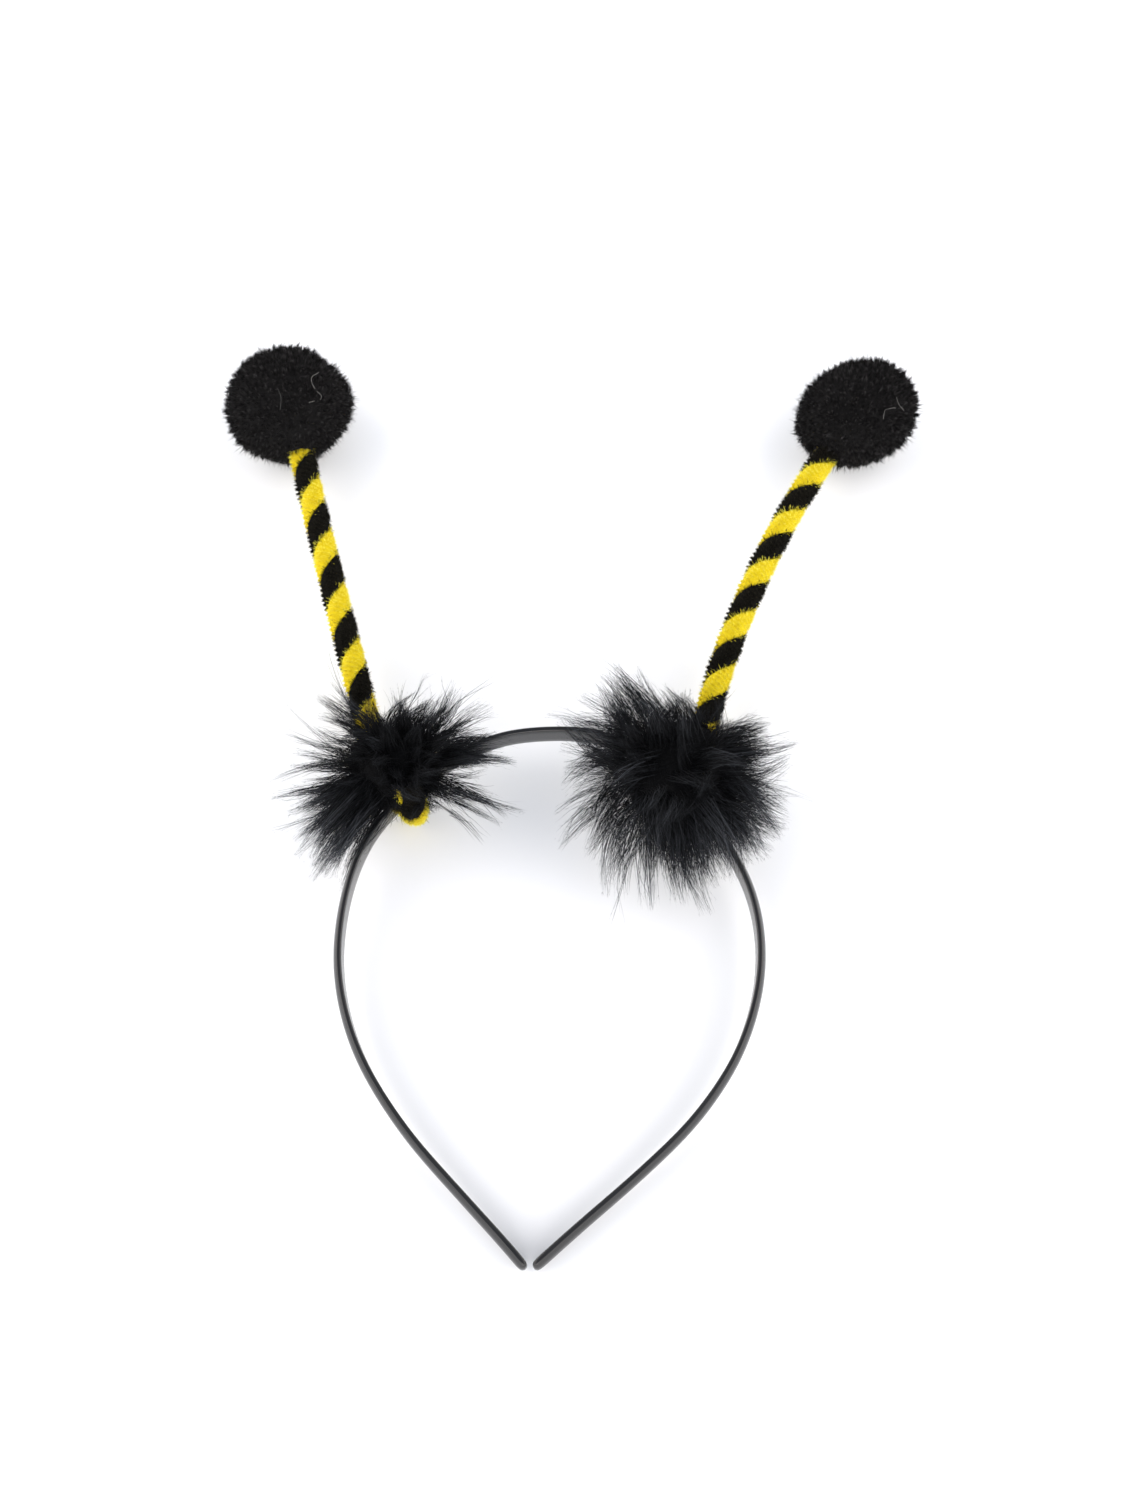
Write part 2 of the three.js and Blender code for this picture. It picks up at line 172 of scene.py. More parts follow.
# Lint on each pompom, in millimetres: a thread's radius and height over the ball,
# and for each thread how bright it is and its places from the pompom's middle,
# seen from above
LINT_RADIUS = 0.055
LINT_HEIGHT = 0.7
LINT = {
    "left": [
        (0.8, [(10.6, 2.3), (8.8, 0.0), (8.9, -1.6), (9.8, -3.2)]),
        (0.7, [(10.4, -3.9), (11.6, -4.8), (11.3, -6.1)]),
        (0.9, [(9.8, -7.0), (8.3, -8.0)]),
        (0.1, [(-0.7, -4.8), (0.3, -7.3), (0.0, -10.5)]),
    ],
    "right": [
        (0.5, [(9.7, -3.0), (10.3, -4.4), (12.4, -5.4)]),
        (0.6, [(9.6, -5.8), (8.0, -6.3), (6.2, -7.2), (5.7, -9.5)]),
    ],
}

# Marabou: FULL_REACH is how far out, in millimetres, a lock turns from painted
# shade wholly to its fringe's colour of painted light, and DRAWN_IN is the share
# of the solid's locks that is kept
HAIRS_PER_FIBRE = 5
FULL_REACH = 35
DOWN_CURLS = 3000
DOWN_SPIKES = 44
DRAWN_IN = 0.06

# Spikes of each tuft: heading in degrees from +X in the plane of the hoop, reach
# in millimetres from the tuft's middle, rise and sideways curl as shares of the
# reach, width in millimetres, and how many lie together there
LEFT_SPIKES = [
    # heading, reach, rise, curl, width, copies
    (126, 28, 0.35, 0.05, 1.8, 5),
    (132, 39, 0.20, -0.06, 0.5, 1),
    (138, 33, 0.30, 0.05, 1.5, 4),
    (147, 41, 0.20, -0.14, 0.5, 1),
    (153, 34, 0.20, 0.10, 0.9, 2),
    (162, 27, 0.20, 0.05, 1.5, 3),
    (170, 31, 0.20, -0.05, 1.2, 3),
    (172, 40, 0.10, -0.04, 0.6, 2),
    (181, 37, 0.05, 0.05, 0.8, 2),
    (187, 33, 0.15, 0.00, 1.6, 4),
    (196, 28, 0.25, 0.00, 2.4, 4),
    (205, 30, 0.10, -0.05, 2.8, 5),
    (211, 40, 0.10, 0.05, 0.8, 2),
    (212, 34, 0.15, 0.00, 2.6, 6),
    (220, 38, 0.10, -0.02, 2.4, 6),
    (228, 38, 0.25, 0.02, 2.8, 7),
    (235, 42, 0.05, 0.02, 2.2, 6),
    (241, 43, 0.05, 0.04, 2.2, 6),
    (96, 19, 0.90, 0.00, 2.4, 4),
    (86, 27, 0.20, -0.04, 0.6, 4),
    (79, 23, 0.30, 0.05, 0.7, 5),
    (71, 31, 0.20, 0.00, 0.5, 3),
    (64, 26, 0.30, 0.04, 0.8, 6),
    (56, 30, 0.20, 0.00, 0.7, 6),
    (49, 28, 0.30, 0.05, 0.8, 6),
    (43, 37, 0.20, 0.06, 0.4, 1),
    (38, 32, 0.20, -0.04, 0.7, 6),
    (30, 28, 0.25, -0.05, 0.9, 6),
    (23, 28, 0.30, -0.05, 1.4, 5),
    (16, 31, 0.30, -0.10, 1.6, 7),
    (10, 30, 0.30, -0.08, 1.6, 7),
    (3, 25, 0.25, -0.05, 1.6, 5),
    (-12, 30, 0.10, 0.06, 0.8, 4),
    (-19, 39, 0.15, -0.06, 1.5, 4),
    (-24, 30, 0.05, -0.05, 0.8, 3),
    (-36, 30, 0.05, -0.05, 0.5, 2),
    (-47, 19, 0.05, 0.00, 1.0, 3),
]
RIGHT_SPIKES = [
    # heading, reach, rise, curl, width, copies
    (47, 31, 0.15, 0.05, 0.4, 1),
    (73, 17, 0.60, 0.05, 2.0, 2),
    (84, 20, 0.50, -0.10, 2.0, 4),
    (95, 20, 0.55, 0.10, 2.6, 6),
    (100, 31, 0.15, 0.04, 0.4, 1),
    (106, 22, 0.55, -0.10, 2.8, 7),
    (113, 38, 0.12, 0.05, 0.5, 1),
    (116, 25, 0.40, 0.08, 2.8, 7),
    (127, 28, 0.45, -0.05, 2.8, 7),
    (133, 34, 0.25, 0.08, 1.2, 3),
    (138, 35, 0.30, -0.06, 2.6, 6),
    (148, 36, 0.15, 0.06, 2.4, 6),
    (156, 40, 0.20, -0.05, 0.5, 2),
    (168, 31, 0.40, 0.04, 2.6, 6),
    (180, 33, 0.30, 0.12, 2.4, 5),
    (190, 32, 0.15, 0.16, 2.2, 4),
    (200, 33, 0.30, 0.20, 2.2, 4),
    (209, 35, 0.10, 0.20, 2.0, 4),
    (218, 34, 0.25, 0.16, 2.0, 4),
    (221, 41, 0.10, 0.20, 0.8, 2),
    (229, 35, 0.10, 0.14, 2.0, 4),
    (238, 35, 0.30, 0.14, 2.6, 5),
    (246, 36, 0.10, 0.12, 2.6, 5),
    (248, 46, 0.05, 0.18, 0.5, 1),
    (255, 35, 0.35, 0.10, 2.8, 6),
    (260, 46, 0.05, -0.10, 0.3, 1),
    (263, 38, 0.10, 0.08, 2.8, 6),
    (271, 36, 0.30, 0.06, 3.2, 7),
    (280, 36, 0.10, 0.05, 3.2, 7),
    (289, 36, 0.35, -0.02, 3.2, 7),
    (297, 37, 0.20, -0.04, 3.2, 8),
    (304, 41, 0.30, -0.04, 3.0, 8),
    (310, 44, 0.10, -0.04, 1.0, 2),
    (313, 40, 0.25, -0.06, 2.8, 7),
    (321, 37, 0.15, -0.05, 2.4, 6),
    (328, 32, 0.05, -0.05, 2.6, 6),
    (337, 31, 0.25, 0.04, 2.8, 7),
    (342, 37, 0.05, 0.06, 0.5, 1),
    (350, 28, 0.20, 0.06, 2.8, 7),
    (358, 28, 0.15, 0.06, 2.8, 8),
    (8, 28, 0.25, 0.06, 2.8, 8),
    (17, 26, 0.25, 0.08, 2.8, 7),
    (28, 19, 0.35, 0.08, 2.6, 5),
    (40, 17, 0.40, -0.06, 2.4, 3),
]
TUFTS = {
    "left": {
        "centre": (-36.6, 130.8, 4.0), "spread": (4.5, 3.5, 3.0), "spikes": LEFT_SPIKES,
        "heart": (-38.2, 131.4, 3.5), "heart_radius": 12.0, "taper": 0.95,
        "fibres_per_mm": 26,
    },
    "right": {
        "centre": (38.6, 130.2, 4.0), "spread": (8.5, 7.0, 3.5), "spikes": RIGHT_SPIKES,
        "heart": (40.0, 129.5, 3.5), "heart_radius": 15.0, "taper": 0.65,
        "fibres_per_mm": 20.5,
    },
}


# Shader maths

class Socket:
    """One output of a shader node, with arithmetic that adds Math nodes."""

    def __init__(self, material, socket):
        self.material, self.socket = material, socket

    def maths(self, operation, first, second):
        return self.material.node("Math", {"operation": operation}, {0: first, 1: second})

    def __add__(self, other):
        return self.maths("ADD", self, other)

    def __radd__(self, other):
        return self.maths("ADD", other, self)

    def __sub__(self, other):
        return self.maths("SUBTRACT", self, other)

    def __rsub__(self, other):
        return self.maths("SUBTRACT", other, self)

    def __mul__(self, other):
        return self.maths("MULTIPLY", self, other)

    def __rmul__(self, other):
        return self.maths("MULTIPLY", other, self)


class Finish:
    """A material of one Principled surface, built node by node."""

    def __init__(self, name, **constants):
        self.material = bpy.data.materials.new(name)
        self.material.use_nodes = True
        self.tree = self.material.node_tree
        self.surface = self.tree.nodes["Principled BSDF"]
        self.put(self.surface, constants)

    def put(self, node, values):
        for name, value in values.items():
            socket = node.inputs[name if isinstance(name, int) else name.replace("_", " ")]
            if isinstance(value, Socket):
                self.tree.links.new(value.socket, socket)
            else:
                socket.default_value = value

    def node(self, kind, settings=None, inputs=None, output=0):
        """Adds a node: its settings first, then its sockets; returns one output."""
        node = self.tree.nodes.new("ShaderNode" + kind)
        for name, value in (settings or {}).items():
            if name == "stops":
                ramp = node.color_ramp
                while len(ramp.elements) < len(value):
                    ramp.elements.new(1)
                for element, (place, colour) in zip(ramp.elements, value):
                    element.position, element.color = place, (*colour, 1)
            else:
                setattr(node, name, value)
        self.put(node, inputs or {})
        return Socket(self, node.outputs[output])

    def place(self):
        return self.node("TexCoord", output="Object")

    def noise(self, scale, detail=2.0, roughness=0.5, stretch=(1, 1, 1)):
        place = self.node("Mapping", {}, {"Vector": self.place(), "Scale": stretch})
        values = {"Vector": place, "Scale": scale, "Detail": detail, "Roughness": roughness}
        return self.node("TexNoise", {}, values)

    def own(self, name):
        return self.node("Attribute", {"attribute_name": name}, output="Fac")

    def blend(self, share, first, second):
        """Colour between two colours."""
        values = {0: share, 6: first, 7: second}
        return self.node("Mix", {"data_type": "RGBA"}, values, output=2)

    def ramp(self, share, *stops):
        return self.node("ValToRGB", {"stops": stops}, {"Fac": share})

    def bump(self, height, distance, strength=1.0):
        values = {"Height": height, "Distance": distance, "Strength": strength}
        return self.node("Bump", {}, values)

    def surface_from(self, **inputs):
        self.put(self.surface, inputs)
        return self.material


def rgb(red, green, blue):
    return (red, green, blue, 1.0)


def satin_plastic():
    """Moulded black plastic: soft flow marks, a grainy skin and fine rubs."""
    finish = Finish("satin_black_plastic", IOR=1.47)
    flow = finish.noise(55, 3, 0.55)
    rub = finish.noise(900, 2, 0.6, stretch=(1, 0.2, 1))
    grain = finish.noise(4200, 2, 0.6)
    colour = finish.blend(flow, rgb(0.010, 0.0095, 0.0095), rgb(0.019, 0.0175, 0.017))
    rough = 0.13 + 0.1 * flow + 0.07 * rub
    height = 0.6 * grain + 0.8 * rub + 1.2 * flow
    return finish.surface_from(
        Base_Color=colour,
        Roughness=rough,
        Normal=finish.bump(height, 0.00003, 0.5),
    )


def dense_pile(name, contrast, deep, mid, bright):
    """Dense short pile: darker at its roots as painted shade and brighter at its tips.
    contrast is how much its fibres differ."""
    finish = Finish(name, Specular_IOR_Level=0.08)
    patch = finish.noise(700, 2, 0.6)
    varied = (1.05 - contrast) + contrast * finish.own("shade")
    share = finish.own("tone") * varied + 0.25 * patch
    colour = finish.ramp(share, (0.12, deep), (0.5, mid), (0.95, bright))
    return finish.surface_from(
        Base_Color=colour,
        Roughness=0.98 - 0.1 * patch,
        Normal=finish.bump(finish.noise(2600, 2, 0.6), 0.0002, 0.6),
    )


def black_chenille():
    """Black chenille pile with a warm tinge, darker at its roots as painted shade."""
    return dense_pile(
        "black_chenille", contrast=0.6,
        deep=(0.0014, 0.0012, 0.0008), mid=(0.0072, 0.0064, 0.0044), bright=(0.0240, 0.0215, 0.0150),
    )


def yellow_chenille():
    """Bright yellow chenille pile, with painted orange shade at its roots."""
    return dense_pile(
        "yellow_chenille", contrast=0.6,
        deep=(0.46, 0.28, 0.004), mid=(0.75, 0.62, 0.018), bright=(0.92, 0.87, 0.140),
    )


def pompom_felt():
    """Matt black felted fibres, darker at their roots as painted shade and with a
    faint painted sheen at their tips.
    """
    return dense_pile(
        "pompom_felt", contrast=0.95,
        deep=(0.0024, 0.0023, 0.0023), mid=(0.0160, 0.0151, 0.0152), bright=(0.0720, 0.0675, 0.0685),
    )


def marabou():
    """Black down: near black at the heart with painted shade, and slate grey at some
    fine fringes as painted light where the white around shows through them.
    """
    finish = Finish("black_marabou", Specular_IOR_Level=0.06)
    share = finish.own("tone") * (0.08 + 0.95 * finish.own("shade"))
    patch = finish.noise(260, 2, 0.5)
    dark = finish.blend(patch, rgb(0.0007, 0.0007, 0.0009), rgb(0.0022, 0.0023, 0.0028))
    colour = finish.blend(share, dark, rgb(0.150, 0.160, 0.180))
    return finish.surface_from(
        Base_Color=colour,
        Roughness=0.7 - 0.15 * finish.own("shade"),
        Normal=finish.bump(finish.noise(3000, 2, 0.5), 0.0001, 0.4),
    )


def lint():
    """Pale stray fibres caught on the pile."""
    finish = Finish("pale_lint", Specular_IOR_Level=0.3)
    share = finish.own("tone") * (0.5 + finish.noise(1500))
    colour = finish.blend(share, rgb(0.04, 0.04, 0.04), rgb(0.34, 0.33, 0.31))
    return finish.surface_from(Base_Color=colour, Roughness=0.7 + 0.1 * finish.noise(900))


def white_floor():
    finish = Finish("white_floor", Specular_IOR_Level=0.2)
    tone = finish.noise(9, 2, 0.5)
    colour = finish.blend(tone, rgb(0.88, 0.885, 0.9), rgb(0.9, 0.9, 0.905))
    return finish.surface_from(Base_Color=colour, Roughness=0.8 + 0.05 * tone)


# Geometry helpers

def unit(vectors):
    return vectors / np.maximum(np.linalg.norm(vectors, axis=-1, keepdims=True), 1e-12)


def perpendicular(directions, rng):
    """A random unit vector square to each direction."""
    return unit(np.cross(directions, rng.normal(size=directions.shape)))


def choose(piece):
    bpy.ops.object.select_all(action="DESELECT")
    piece.select_set(True)
    bpy.context.view_layer.objects.active = piece


def merged_copy(node, name):
    """A copy of a CAD node's mesh with its loose triangles merged into quads."""
    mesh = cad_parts[node].data.copy()
    mesh.materials.clear()
    piece = bpy.data.objects.new(name, mesh)
    bpy.context.scene.collection.objects.link(piece)
    choose(piece)
    bpy.ops.object.mode_set(mode="EDIT")
    bpy.ops.mesh.select_all(action="SELECT")
    bpy.ops.mesh.remove_doubles(threshold=1e-6)
    bpy.ops.mesh.tris_convert_to_quads(face_threshold=math.pi, shape_threshold=math.pi)
    bpy.ops.object.mode_set(mode="OBJECT")
    if mesh.has_custom_normals:
        bpy.ops.mesh.customdata_custom_splitnormals_clear()
    bpy.ops.object.shade_smooth()
    return piece


def subdivide(piece, levels):
    choose(piece)
    modifier = piece.modifiers.new("smooth", "SUBSURF")
    modifier.levels = modifier.render_levels = levels
    bpy.ops.object.modifier_apply(modifier=modifier.name)


def shrink(piece, depth):
    """Moves a piece's skin inwards by a depth in millimetres."""
    choose(piece)
    bpy.ops.object.mode_set(mode="EDIT")
    bpy.ops.mesh.select_all(action="SELECT")
    bpy.ops.transform.shrink_fatten(value=-depth * MM)
    bpy.ops.object.mode_set(mode="OBJECT")


def mesh_arrays(piece):
    """Corners, triangles and corner normals of a piece."""
    mesh = piece.data
    mesh.calc_loop_triangles()
    corners = np.empty(len(mesh.vertices) * 3, np.float32)
    normals = np.empty(len(mesh.vertices) * 3, np.float32)
    triangles = np.empty(len(mesh.loop_triangles) * 3, np.int32)
    mesh.vertices.foreach_get("co", corners)
    mesh.vertex_normals.foreach_get("vector", normals)
    mesh.loop_triangles.foreach_get("vertices", triangles)
    return corners.reshape(-1, 3), triangles.reshape(-1, 3), normals.reshape(-1, 3)


def surface_spots(piece, count, rng):
    """Places spread evenly over a piece's skin, and the skin's normals there."""
    corners, triangles, normals = mesh_arrays(piece)
    a, b, c = (corners[triangles[:, k]] for k in range(3))
    area = np.linalg.norm(np.cross(b - a, c - a), axis=1)
    chosen = rng.choice(len(triangles), count, p=area / area.sum())
    weights = rng.dirichlet((1, 1, 1), count)[:, :, None]
    spots = (corners[triangles[chosen]] * weights).sum(1)
    return spots, unit((normals[triangles[chosen]] * weights).sum(1))


def gather(*parts):
    """Joins parts of a mesh: (corners, triangles, tone, shade) each."""
    starts = np.cumsum([0] + [len(part[0]) for part in parts[:-1]])
    corners, triangles, tone, shade = zip(*parts)
    shifted = [rows + start for rows, start in zip(triangles, starts)]
    return tuple(np.concatenate(rows) for rows in (corners, shifted, tone, shade))


def fibre_piece(name, material, part):
    """A piece from arrays of corners and triangles, with tone and shade kept."""
    corners, triangles, tone, shade = part
    mesh = bpy.data.meshes.new(name)
    mesh.vertices.add(len(corners))
    mesh.vertices.foreach_set("co", corners.astype(np.float32).ravel())
    mesh.loops.add(triangles.size)
    mesh.loops.foreach_set("vertex_index", triangles.astype(np.int32).ravel())
    mesh.polygons.add(len(triangles))
    mesh.polygons.foreach_set("loop_start", np.arange(0, triangles.size, 3, dtype=np.int32))
    for label, values in (("tone", tone), ("shade", shade)):
        mesh.attributes.new(label, "FLOAT", "POINT")
        mesh.attributes[label].data.foreach_set("value", values.astype(np.float32))
    mesh.materials.append(material)
    mesh.update(calc_edges=True)
    piece = bpy.data.objects.new(name, mesh)
    bpy.context.scene.collection.objects.link(piece)
    return piece


def part_of(piece, tone, shade):
    """A piece's own mesh as a part with one tone and shade; the piece goes."""
    corners, triangles, _ = mesh_arrays(piece)
    bpy.data.objects.remove(piece)
    flat = np.ones(len(corners))
    return corners, triangles, tone * flat, shade * flat


def ribbons(lines, widths, facing, shade, tones):
    """Flat fibres that taper to a point. lines is (fibre, step, 3), widths is
    (step,), tones is (step,) or (fibre, step), facing and shade are for each fibre."""
    count, steps, _ = lines.shape
    half = facing[:, None, :] * (widths[:-1, None] / 2)
    body = lines[:, :-1]
    sides = np.stack((body - half, body + half), axis=2).reshape(count, -1, 3)
    corners = np.concatenate((sides, lines[:, -1:]), axis=1)
    each = 2 * steps - 1
    pattern = []
    for k in range(steps - 2):
        a = 2 * k
        pattern += [(a, a + 1, a + 3), (a, a + 3, a + 2)]
    pattern.append((each - 3, each - 2, each - 1))
    starts = np.arange(count)[:, None, None] * each
    triangles = (starts + np.array(pattern)[None]).reshape(-1, 3)
    tones = np.broadcast_to(tones, (count, steps))
    tone = np.concatenate((np.repeat(tones[:, :-1], 2, axis=1), tones[:, -1:]), axis=1)
    return corners.reshape(-1, 3), triangles, tone.ravel(), np.repeat(shade, each)


def tube(line, radii, sides, tone, shade):
    """A round thread along a line of points, closed at its ends."""
    ahead = unit(np.gradient(line, axis=0))
    across = unit(np.cross(ahead, (0.31, 0.22, 0.92)))
    beside = np.cross(ahead, across)
    turn = np.arange(sides) * 2 * math.pi / sides
    ring = across[:, None] * np.cos(turn)[:, None] + beside[:, None] * np.sin(turn)[:, None]
    corners = (line[:, None] + ring * radii[:, None, None]).reshape(-1, 3)
    steps = len(line)
    triangles = []
    for i in range(steps - 1):
        for k in range(sides):
            a, b = i * sides + k, i * sides + (k + 1) % sides
            triangles += [(a, b, b + sides), (a, b + sides, a + sides)]
    last = (steps - 1) * sides
    for k in range(1, sides - 1):
        triangles += [(0, k + 1, k), (last, last + k, last + k + 1)]
    flat = np.ones(len(corners))
    return corners, np.array(triangles), tone * flat, shade * flat


def curve_points(start, bend, end, share):
    """Points of a quadratic curve for each row, at shares along it."""
    share = np.asarray(share)[..., None]
    return (1 - share) ** 2 * start + 2 * share * (1 - share) * bend + share**2 * end


# Pile

def pile(spots, normals, rng, depth, height, width, lean, clump, pull, stray):
    """Short fibres that leave a skin and lean together in small bunches.
    Lengths in millimetres; stray is the share of fibres that stand well proud."""
    count = len(spots)
    proud = rng.random(count) < stray
    ahead = unit(normals + lean * rng.normal(size=spots.shape))
    reach = height * np.where(proud, rng.uniform(1.3, 2.0, count), rng.uniform(0.2, 1.1, count))
    tips = spots + ahead * reach[:, None] * MM
    leaders = rng.choice(count, max(1, int(count / clump)), replace=False)
    tree = KDTree(len(leaders))
    for k, leader in enumerate(leaders):
        tree.insert(spots[leader], k)
    tree.balance()
    nearest = leaders[[tree.find(spot)[1] for spot in spots]]
    share = np.where(proud, 0, pull * rng.uniform(0.5, 1.0, count))[:, None]
    tips = tips * (1 - share) + tips[nearest] * share
    roots = spots - normals * depth * MM
    bend = (roots + tips) / 2 + perpendicular(ahead, rng) * (0.14 * (depth + height) * MM)
    lines = curve_points(roots[:, None], bend[:, None], tips[:, None], [[0, 0.55, 1]])
    widths = np.array((width, 0.8 * width, 0)) * MM
    facing = perpendicular(ahead, rng)
    own_shade = rng.random(count)
    shade = (own_shade + own_shade[nearest]) / 2
    # Tone rises from root to tip along each fibre: painted shade at the roots
    return ribbons(lines, widths, facing, shade, np.array((0.0, 0.6, 1.0)))


def stalk_point(antenna, distance):
    """A point of an antenna's arc, at a distance from its foot."""
    root_x, root_y = antenna["root"]
    heading = math.radians(antenna["heading"])
    steps = 24
    share = (np.arange(steps) + 0.5) / steps * distance / antenna["length"]
    lean = antenna["lean_foot"] + share * (antenna["lean_top"] - antenna["lean_foot"])
    lean = np.radians(lean)
    return (
        root_x + antenna["foot"] * math.cos(heading) + np.sin(lean).mean() * distance,
        root_y + antenna["foot"] * math.sin(heading) + np.cos(lean).mean() * distance,
        antenna["drop"] * distance / antenna["length"],
    )


def rope_route(antenna):
    """Points of a rope's middle line in the plane of the hoop: down the stalk,
    over the near rim, past the inner face and under the far rim to its tail."""
    top = antenna["length"] - antenna["pompom_radius"] + SOCKET_DEPTH
    stalk = [stalk_point(antenna, distance) for distance in np.linspace(top, FREE_LENGTH, 6)]
    heading = math.radians(antenna["heading"])
    along = np.array((math.cos(heading), math.sin(heading), 0))
    across = np.array((-along[1], along[0], 0)) + along * antenna["slant"]
    root = np.array((*antenna["root"], 0))
    half_run = BAND_HALF_WIDTH + ROPE_RADIUS - WIND_RADIUS + WIND_GAP
    shoulder = (root + stalk[-1]) / 2
    shoulder[2] = 0.66 * (half_run + WIND_RADIUS)
    wound = []
    for rim, angles in ((half_run, (90, 120, 150, 180)), (-half_run, (180, 210, 240, 270))):
        for angle in np.radians(angles):
            rise = rim + WIND_RADIUS * math.sin(angle)
            wound.append(root + across * WIND_RADIUS * math.cos(angle) + (0, 0, rise))
    tail = root + across * WINDING_TAIL - (0, 0, half_run + WIND_RADIUS)
    return np.array([*stalk, shoulder, *wound, tail])


def smooth_line(points, steps):
    """A smooth curve through points, that keeps its turns tight where they are
    close together."""
    points = np.concatenate((2 * points[:1] - points[1:2], points, 2 * points[-1:] - points[-2:-1]))
    gaps = np.sqrt(np.linalg.norm(np.diff(points, axis=0), axis=1))
    share = np.linspace(0, 1, steps, endpoint=False)[:, None]
    runs = []
    for k in range(len(gaps) - 2):
        p0, p1, p2, p3 = points[k:k + 4]
        d0, d1, d2 = gaps[k:k + 3]
        leave = ((p1 - p0) / d0 - (p2 - p0) / (d0 + d1) + (p2 - p1) / d1) * d1
        arrive = ((p2 - p1) / d1 - (p3 - p1) / (d1 + d2) + (p3 - p2) / d2) * d1
        runs.append(
            p1 * (1 + 2 * share) * (1 - share) ** 2 + leave * share * (1 - share) ** 2
            + p2 * share**2 * (3 - 2 * share) - arrive * share**2 * (1 - share)
        )
    return np.concatenate(runs + [points[-2:-1]])


def rope_frames(side):
    """Points of a rope's middle line at fine even steps, with its directions
    ahead and the black stem's back at each, in millimetres."""
    antenna = ANTENNAS[side]
    line = to_frame(smooth_line(rope_route(antenna), 40)) / MM
    travelled = np.append(0, np.cumsum(np.linalg.norm(np.diff(line, axis=0), axis=1)))
    along = np.linspace(0, travelled[-1], int(travelled[-1] / ROPE_STEP) + 1)
    line = np.stack([np.interp(along, travelled, line[:, k]) for k in range(3)], axis=1)
    ahead = unit(np.gradient(line, axis=0))
    plain = np.empty_like(line)
    across = np.array((0, 0, 1.0))
    for k, travel in enumerate(ahead):
        across = unit(across - travel * (across @ travel))
        plain[k] = across
    late = np.clip((along - along[-1] + LATE_TURN_START) / LATE_TURN_RUN, 0, 1)
    turn = along / antenna["pitch"] * 2 * math.pi + math.radians(antenna["turn"])
    turn = (turn + math.radians(antenna["late_turn"]) * late)[:, None]
    back = plain * np.cos(turn) + np.cross(ahead, plain) * np.sin(turn)
    return line, ahead, back


def stem_core(line, ahead, back):
    """The inner body of one stem: a half round with soft corners."""
    angles = np.radians(np.linspace(-86, 86, 13))
    radius = ROPE_RADIUS - CORE_DEPTH
    x = np.append(radius * np.cos(angles) * 0.96 + 0.04 * radius, (STEM_GAP, STEM_GAP))
    y = np.append(radius * np.sin(angles) * 0.94, (0.8 * radius, -0.8 * radius))
    x = np.maximum(x, STEM_GAP)
    beside = np.cross(ahead, back)
    corners = line[:, None] + back[:, None] * x[:, None] + beside[:, None] * y[:, None]
    steps, sides = corners.shape[:2]
    a = np.arange(steps - 1)[:, None] * sides + np.arange(sides)
    b = np.arange(steps - 1)[:, None] * sides + (np.arange(sides) + 1) % sides
    triangles = np.concatenate((
        np.stack((a, b, b + sides), axis=-1).reshape(-1, 3),
        np.stack((a, b + sides, a + sides), axis=-1).reshape(-1, 3),
        [(0, k + 1, k) for k in range(1, sides - 1)],
        [((steps - 1) * sides, (steps - 1) * sides + k, (steps - 1) * sides + k + 1)
         for k in range(1, sides - 1)],
    ))
    # The core's tone of 0.3 paints it darker than the fibre tips: painted shade deep in the pile
    flat = np.ones(steps * sides)
    return corners.reshape(-1, 3) * MM, triangles, 0.3 * flat, 0.5 * flat


